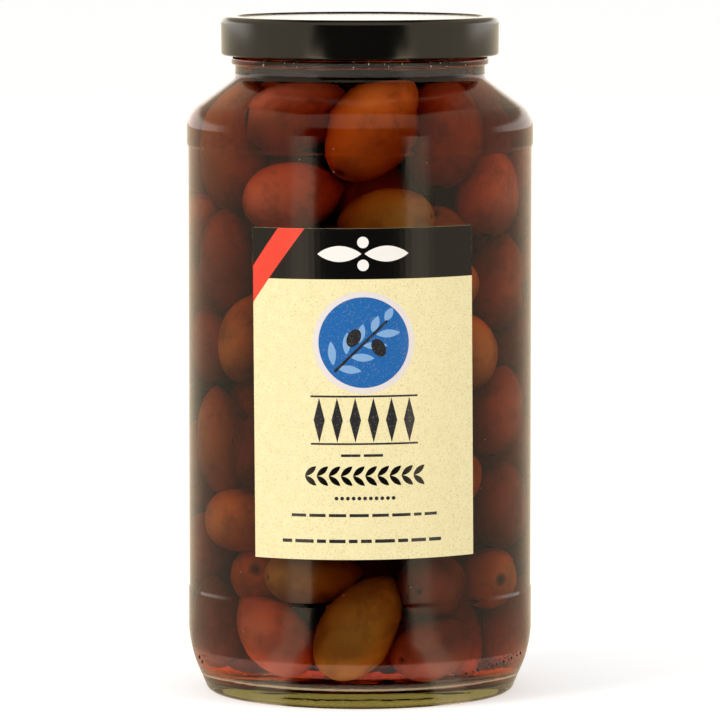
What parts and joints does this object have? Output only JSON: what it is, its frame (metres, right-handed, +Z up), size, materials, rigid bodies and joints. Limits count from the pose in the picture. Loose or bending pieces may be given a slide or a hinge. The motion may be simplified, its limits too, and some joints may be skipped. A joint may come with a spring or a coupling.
{
  "type": "jar of olives",
  "caption": "Round glass jar with a black twist cap and a paper label, filled with whole dark olives in brine.",
  "frame": {"origin": "centre of the ring that the jar stands on, on the table", "axes": "+Z up along the jar's axis, the label faces -Y, +X to the right of the label"},
  "size_m": [0.0928, 0.0928, 0.1815],
  "materials": {
    "glass": "clear, smooth",
    "lid_black": "gloss lacquer",
    "seal": "soft",
    "label_paper": "matt printed paper",
    "contents": "wet olives in dark brine"
  },
  "bodies": {
    "root": {"glass_jar": "glass", "lid": "lid_black", "lid_seal": "seal", "label": "label_paper", "olives_in_brine": "contents"}
  },
  "joints": []
}
